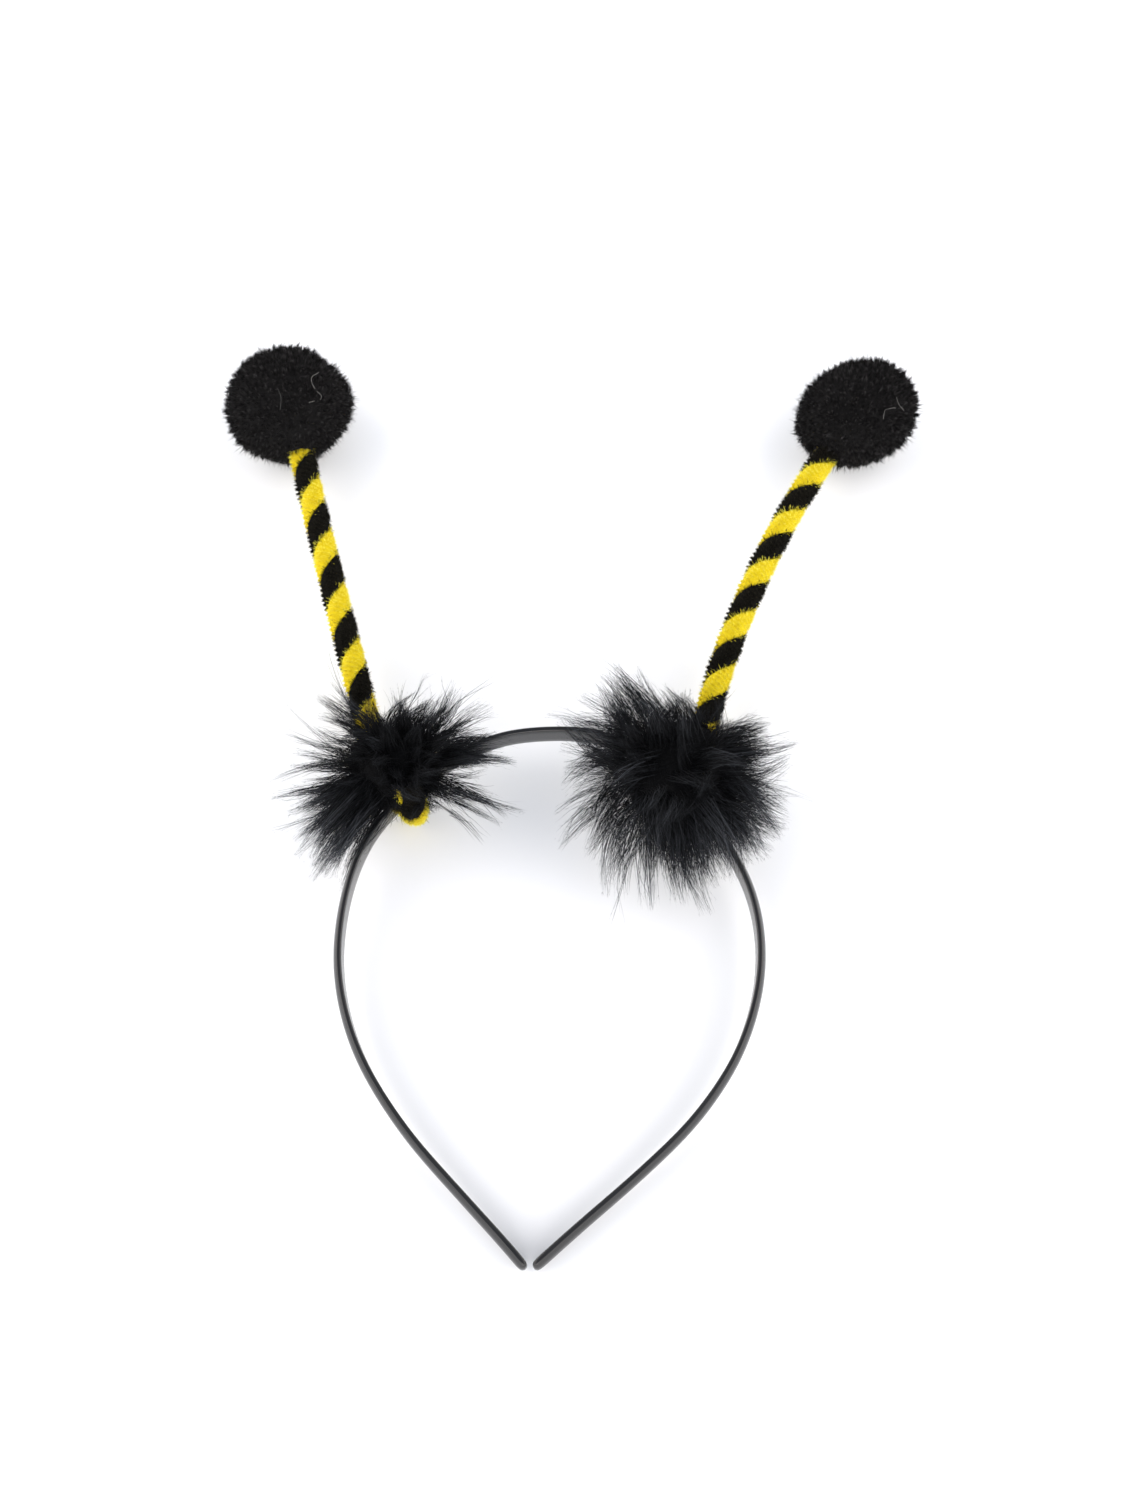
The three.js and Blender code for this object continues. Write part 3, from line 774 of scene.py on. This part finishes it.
def chenille_stem(side, colour, material, seed):
    """One stem of a rope: a soft core, and rows of fibres that leave its wire
    and fill its half of the rope's round."""
    rng = np.random.default_rng(seed)
    kind = PILE_KINDS[colour]
    line, ahead, back = rope_frames(side)
    if colour == "yellow":
        back = -back
    beside = np.cross(ahead, back)
    rows = np.arange(PILE_ROW / 2, (len(line) - 1) * ROPE_STEP, PILE_ROW)
    count = len(rows) * FIBRES_PER_ROW
    row = np.repeat(np.arange(len(rows)), FIBRES_PER_ROW)
    place = np.repeat(rows, FIBRES_PER_ROW) + rng.normal(0, 0.13, count)
    at = np.clip(np.round(place / ROPE_STEP).astype(int), 0, len(line) - 1)
    spread = np.degrees(np.arccos(rng.uniform(-1, 1, count))) - 90
    bunch = np.round(spread / BUNCH_ANGLE + rng.uniform(0, 1, len(rows))[row])
    bunched = spread + BUNCHING * (BUNCH_ANGLE * bunch - spread)
    angle = np.radians(FAN_WIDTH * bunched + rng.normal(0, 3, count))
    slope = math.atan(2 * math.pi * WIRE_OFFSET / ANTENNAS[side]["pitch"])
    sideways = beside[at] * math.cos(slope) - ahead[at] * math.sin(slope)
    leave = back[at] * np.cos(angle)[:, None] + sideways * np.sin(angle)[:, None]
    leave = unit(leave + rng.normal(0, 0.07, leave.shape))
    flat = np.sin(angle) * math.cos(slope)
    lift = np.cos(angle)
    square = flat**2 + lift**2
    reach = (-WIRE_OFFSET * lift + np.sqrt(
        (WIRE_OFFSET * lift) ** 2 + square * (ROPE_RADIUS**2 - WIRE_OFFSET**2)
    )) / square
    limit = (WIRE_OFFSET - STEM_GAP) / np.maximum(-lift, 1e-3)
    reach = np.minimum(reach, np.where(lift < 0, limit, reach))
    lumps = rng.normal(kind["taller"], kind["uneven"], (len(rows), BUNCHES))
    lumps = np.clip(lumps, -0.4, 0.5)
    height = rng.uniform(-0.35, 0.15, count) + lumps[row, bunch.astype(int)]
    proud = rng.random(count) < kind["proud"]
    height = np.where(proud, rng.uniform(0.2, 0.85, count), height)
    wires = line[at] + back[at] * WIRE_OFFSET
    tips = wires + leave * (reach + height)[:, None]
    roots = wires + leave * np.maximum(reach - PILE_DEPTH, 0.2)[:, None]
    bends = (roots + tips) / 2 + rng.normal(0, 0.09, roots.shape)
    lines = curve_points(roots[:, None], bends[:, None], tips[:, None], [[0, 0.6, 1]]) * MM
    # Fibres along the parting, in two rows of every four, get a low shade: painted shade where the
    # pile parts
    parting = np.abs(np.degrees(angle)) < 7
    parting_shade = (row % 4 < 2) & (rng.random(count) < 0.75)
    shade = np.where(parting & parting_shade, 0.05, rng.uniform(0.35, 1.0, count))
    # Tone rises from root to tip along each fibre: painted shade at the roots
    fibres = ribbons(
        lines, np.array(FIBRE_WIDTHS) * MM, perpendicular(leave, rng),
        shade, np.array((0.1, 0.65, 1.0)),
    )
    coarse = slice(None, None, 4)
    piece = fibre_piece(
        f"{colour}_chenille_{side}",
        material,
        gather(stem_core(line[coarse], ahead[coarse], back[coarse]), fibres),
    )
    keep_above_floor(piece)
    finish_piece(piece, f"stem_{colour}_{side}")


def felt_ball(side, rng):
    """The body of a pompom: a ball with soft lumps, pressed in here and there."""
    shape = POMPOMS[side]
    low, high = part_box(f"pompom_{side}")
    middle = (low + high) / 2
    shift_x, shift_y = shape["shift"]
    centre = np.array((middle.x + shift_x * MM, middle.y + shift_y * MM, shape["size"][2] / 2 * MM))
    bpy.ops.mesh.primitive_ico_sphere_add(subdivisions=5, radius=1)
    ball = bpy.context.object
    corners, _, _ = mesh_arrays(ball)
    swell = np.ones(len(corners))
    for heading, rise, share, sharpness in shape["swells"]:
        heading, rise = math.radians(heading), math.radians(rise)
        level = math.cos(rise)
        towards = (math.cos(heading) * level, math.sin(heading) * level, math.sin(rise))
        swell += share * np.clip(corners @ towards, 0, 1) ** sharpness
    for waves, height in POMPOM_LUMPS:
        turns = unit(rng.normal(size=(3, 3)))
        ripples = np.sin(waves * corners @ turns.T + rng.uniform(0, 6, 3))
        swell += height * np.prod(ripples, axis=1)
    swell += rng.normal(0, POMPOM_GRAIN, len(corners))
    swell -= 0.03 * np.clip((-corners[:, 2] - 0.72) / 0.28, 0, 1)
    tilt = np.array(Matrix.Rotation(math.radians(shape["tilt"]), 3, "Z"))
    corners = (corners * swell[:, None] * (np.array(shape["size"]) / 2 * MM)) @ tilt.T + centre
    ball.data.vertices.foreach_set("co", corners.astype(np.float32).ravel())
    ball.data.update()
    bpy.ops.object.shade_smooth()
    return ball


def pompom(side, material, lint_material, seed):
    """A felted pompom: a lumpy ball under short tangled fibres, with lint."""
    rng = np.random.default_rng(seed)
    ball = felt_ball(side, rng)
    spots, normals = surface_spots(ball, POMPOM_FIBRES, rng)
    fibres = pile(
        spots, normals, rng,
        depth=1.0, height=1.6, width=0.12, lean=0.5, clump=15, pull=0.95, stray=0.04,
    )
    threads = [lint_thread(ball, places, bright) for bright, places in LINT[side]]
    shrink(ball, POMPOM_CORE_DEPTH)
    # The ball's tone of 0.3 paints it darker than the fibre tips: painted shade under the pile
    piece = fibre_piece(
        f"pompom_pile_{side}",
        material,
        gather(part_of(ball, 0.3, 0.5), fibres),
    )
    keep_above_floor(piece)
    finish_piece(piece, f"pompom_{side}")
    curls = fibre_piece(f"lint_{side}", lint_material, gather(*threads))
    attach(curls, "root")


def lint_thread(ball, places, bright):
    """A thin thread that lies on a ball's pile over places seen from above."""
    corners, _, _ = mesh_arrays(ball)
    middle = (corners.min(0) + corners.max(0)) / 2
    upper = corners[corners[:, 2] > middle[2]]
    line = []
    for x, y in smooth_line(np.array(places), 8):
        away = np.linalg.norm(upper[:, :2] - middle[:2] - np.array((x, y)) * MM, axis=1)
        near = np.argsort(away)[:3]
        height = np.average(upper[near, 2], weights=1 / (away[near] + 1e-6))
        line.append((middle[0] + x * MM, middle[1] + y * MM, height + LINT_HEIGHT * MM))
    return tube(np.array(line), np.full(len(line), LINT_RADIUS * MM), 3, bright, 0.5)


# Feather tufts

def to_frame(points):
    """Points in the plane of the hoop, in millimetres, in the frame."""
    matrix = np.array(HOOP_PLANE)
    return points @ matrix[:3, :3].T + matrix[:3, 3]


def spike(tuft, start, heading, reach, rise, curl, width, rng):
    """One lock of down in the plane of the hoop: fine wavy fibres that gather
    towards its tip, with short hairs along them."""
    fibres = int(tuft["fibres_per_mm"] * width)
    angle = math.radians(heading)
    level = np.array((math.cos(angle), math.sin(angle), 0))
    beside = np.array((-level[1], level[0], 0))
    up = np.array((0, 0, 1.0))
    flat = reach / math.hypot(1, 0.7 * rise)
    end = start + level * flat + beside * curl * reach + up * (0.7 * rise * flat)
    bend = start + level * (0.55 * flat) - beside * (0.6 * curl * reach) + up * (0.75 * rise * flat)
    first = rng.uniform(0.12, 0.55, fibres)[:, None]
    last = np.minimum(1, first + rng.uniform(0.3, 0.8, fibres)[:, None])
    part = np.linspace(0, 1, 5)[None]
    share = first + (last - first) * part
    lines = curve_points(start[None, None], bend[None, None], end[None, None], share)
    gather_in = (1 - tuft["taper"] * share) ** 0.8 * width
    lean = np.clip(rng.normal(size=(fibres, 1, 2)), -1.8, 1.8) * gather_in[..., None]
    loose = np.where(rng.random((fibres, 1)) < 0.3, 1.6, 0.45)
    lean = lean + rng.normal(size=(fibres, 1, 2)) * (loose * part**2)[..., None]
    wave = np.sin(part * rng.uniform(2, 8, (fibres, 1)) + rng.uniform(0, 6, (fibres, 1)))
    lean = lean + rng.normal(0, 0.5, (fibres, 1, 2)) * wave[..., None]
    lines = lines + lean[..., :1] * beside + lean[..., 1:] * 0.7 * up
    travel = unit(lines[:, -1] - lines[:, 0])
    # Tone grows with the distance out along the lock: painted shade near the heart and painted light
    # at the fringes; each lock's random factor is its own tone
    tones = rng.uniform(0.55, 1.3) * np.minimum(1, share * reach / FULL_REACH) ** 2
    shade = rng.random(fibres) ** 2
    body = ribbons(
        lines, np.array((0.15, 0.14, 0.11, 0.07, 0)), perpendicular(travel, rng),
        shade, tones,
    )
    owner = np.repeat(np.arange(fibres), HAIRS_PER_FIBRE)
    spot = rng.uniform(0.05, 3.9, len(owner))
    step = spot.astype(int)
    between = (spot - step)[:, None]
    foot = lines[owner, step] * (1 - between) + lines[owner, step + 1] * between
    leave = unit(1.1 * travel[owner] + 0.8 * perpendicular(travel[owner], rng))
    length = rng.uniform(0.6, 2.2, len(owner)) * (1 - 0.12 * spot) * min(1, 0.4 + 0.3 * width)
    tone = tones[owner, step]
    hairs = ribbons(
        np.stack((foot, foot + leave * length[:, None]), axis=1), np.array((0.07, 0)),
        perpendicular(leave, rng), shade[owner], np.stack((tone, 1.2 * tone), axis=1),
    )
    return gather(body, hairs)


def down_curls(body, count, rng):
    """Curled fibres that lie loosely over a body in all directions."""
    spots, normals = surface_spots(body, count, rng)
    along = perpendicular(normals, rng)
    reach = rng.uniform(2.5, 7.0, count)[:, None] * MM
    lift = rng.uniform(0.1, 0.8, count)[:, None]
    tips = spots + (along * 0.9 + normals * lift) * reach
    bends = spots + (along * 0.35 + normals * 0.75 + 0.5 * perpendicular(normals, rng)) * reach * lift
    lines = curve_points(spots[:, None], bends[:, None], tips[:, None], np.linspace(0, 1, 6)[None])
    shade = rng.random(count) ** 3
    # The curls keep a low tone: painted shade over the tuft's heart
    return ribbons(
        lines, np.array((0.12, 0.13, 0.12, 0.10, 0.08, 0)) * MM, perpendicular(along, rng),
        shade, np.array((0.0, 0.01, 0.02, 0.04, 0.06, 0.1)),
    )


def tuft_body(node, middle, radius):
    """The dark heart of a tuft, which gets painted shade: the CAD tuft with its locks drawn in."""
    body = merged_copy(node, "body")
    skin, _, _ = mesh_arrays(body)
    away = skin - middle
    distance = np.linalg.norm(away, axis=1, keepdims=True)
    near = radius * MM
    held = np.where(distance > near, near + (distance - near) * DRAWN_IN, distance)
    body.data.vertices.foreach_set("co", (middle + unit(away) * held).astype(np.float32).ravel())
    body.data.update()
    subdivide(body, 1)
    shrink(body, 0.5)
    return body


def feather_tuft(side, material, seed):
    """A marabou tuft: a dark heart of curled down round the antenna's root, with
    short spikes all round it and the longer ones of its table."""
    rng = np.random.default_rng(seed)
    node = f"feather_tuft_{side}"
    tuft = TUFTS[side]
    centre = np.array(tuft["centre"])
    rows = [row for row in tuft["spikes"] for _ in range(row[-1])]
    rows = [(
        heading + rng.normal(0, 3.5),
        reach * (1 if copies == 1 else rng.uniform(0.7, 1.0)),
        rise + rng.normal(0, 0.12),
        curl + rng.normal(0, 0.06),
        width * rng.uniform(0.7, 1.2),
    ) for heading, reach, rise, curl, width, copies in rows]
    rows += [(
        rng.uniform(0, 360),
        tuft["heart_radius"] * rng.uniform(1.1, 1.8),
        rng.uniform(0.3, 2.5),
        rng.normal(0, 0.2),
        2.4,
    ) for _ in range(DOWN_SPIKES)]
    spikes = [
        spike(tuft, centre + rng.uniform(-1, 1, 3) * tuft["spread"], *row, rng)
        for row in rows
    ]
    corners, triangles, tone, shade = gather(*spikes)
    heart = to_frame(np.array([tuft["heart"]]))[0]
    body = tuft_body(node, heart, tuft["heart_radius"])
    curls = down_curls(body, DOWN_CURLS, rng)
    # The heart takes tone 0, the darkest: painted shade in the middle of the tuft
    piece = fibre_piece(
        f"marabou_{side}",
        material,
        gather(part_of(body, 0.0, 0.5), curls, (to_frame(corners), triangles, tone, shade)),
    )
    keep_above_floor(piece)
    finish_piece(piece, node)


def keep_above_floor(piece):
    """Lifts what would pass through the floor to just above it."""
    corners, _, _ = mesh_arrays(piece)
    corners[:, 2] = np.maximum(corners[:, 2], FLOOR_GAP * MM)
    piece.data.vertices.foreach_set("co", corners.ravel())
    piece.data.update()


def headband(material):
    """The moulded hoop: the CAD band with its long edges eased."""
    piece = merged_copy("headband", "headband_moulding")
    choose(piece)
    bpy.ops.object.mode_set(mode="EDIT")
    bpy.ops.mesh.select_all(action="DESELECT")
    bpy.ops.mesh.select_mode(type="EDGE")
    bpy.ops.mesh.edges_select_sharp(sharpness=math.radians(32))
    bpy.ops.transform.edge_crease(value=0.55)
    bpy.ops.object.mode_set(mode="OBJECT")
    subdivide(piece, 2)
    piece.data.materials.append(material)
    finish_piece(piece, "headband")


def finish_piece(piece, node):
    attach(piece, "root")
    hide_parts(node)


# Camera, floor and lights

def place_camera():
    low, level = math.sin(CAMERA_ELEVATION), math.cos(CAMERA_ELEVATION)
    x, y, z = CAMERA_TARGET
    bpy.ops.object.camera_add(
        location=(x, y - CAMERA_DISTANCE * level, z + CAMERA_DISTANCE * low),
        rotation=(math.pi / 2 - CAMERA_ELEVATION, 0, 0),
    )
    camera = bpy.context.object
    camera.data.lens = CAMERA_LENS
    camera.data.sensor_width = 36
    camera.data.clip_start, camera.data.clip_end = 0.01, 50
    bpy.context.scene.camera = camera


def place_floor():
    bpy.ops.mesh.primitive_plane_add(size=8)
    floor = bpy.context.object
    floor.name = "floor"
    floor.data.materials.append(white_floor())


def soft_light(name, place, size, power, colour):
    """A square softbox that faces the object."""
    bpy.ops.object.light_add(type="AREA", location=place)
    light = bpy.context.object
    light.name = name
    light.data.size = size
    light.data.energy = power
    light.data.color = colour
    light.rotation_euler = (Vector((0, 0, 0.01)) - Vector(place)).to_track_quat("-Z", "Y").to_euler()


def light_room():
    """White surroundings, dimmer overhead, with a softbox on three sides."""
    scene = bpy.context.scene
    scene.view_settings.view_transform = "Standard"
    world = bpy.data.worlds.new("white_room")
    scene.world = world
    world.use_nodes = True
    tree = world.node_tree
    place = tree.nodes.new("ShaderNodeTexCoord")
    split = tree.nodes.new("ShaderNodeSeparateXYZ")
    ramp = tree.nodes.new("ShaderNodeValToRGB")
    tree.links.new(place.outputs["Generated"], split.inputs[0])
    tree.links.new(split.outputs["Z"], ramp.inputs["Fac"])
    level, overhead = ramp.color_ramp.elements
    level.position, level.color = 0.3, rgb(1.0, 1.0, 1.0)
    overhead.position, overhead.color = 0.82, rgb(0.08, 0.11, 0.16)
    background = tree.nodes["Background"]
    tree.links.new(ramp.outputs["Color"], background.inputs["Color"])
    background.inputs["Strength"].default_value = 2.35
    for row in SOFTBOXES:
        soft_light(*row)


place_camera()
place_floor()
light_room()

headband(satin_plastic())
black_pile = black_chenille()
yellow_pile = yellow_chenille()
felt = pompom_felt()
down = marabou()
stray = lint()
for index, side in enumerate(("left", "right")):
    chenille_stem(side, "black", black_pile, [11, index])
    chenille_stem(side, "yellow", yellow_pile, [12, index])
    pompom(side, felt, stray, [13, index])
    feather_tuft(side, down, [14, index])
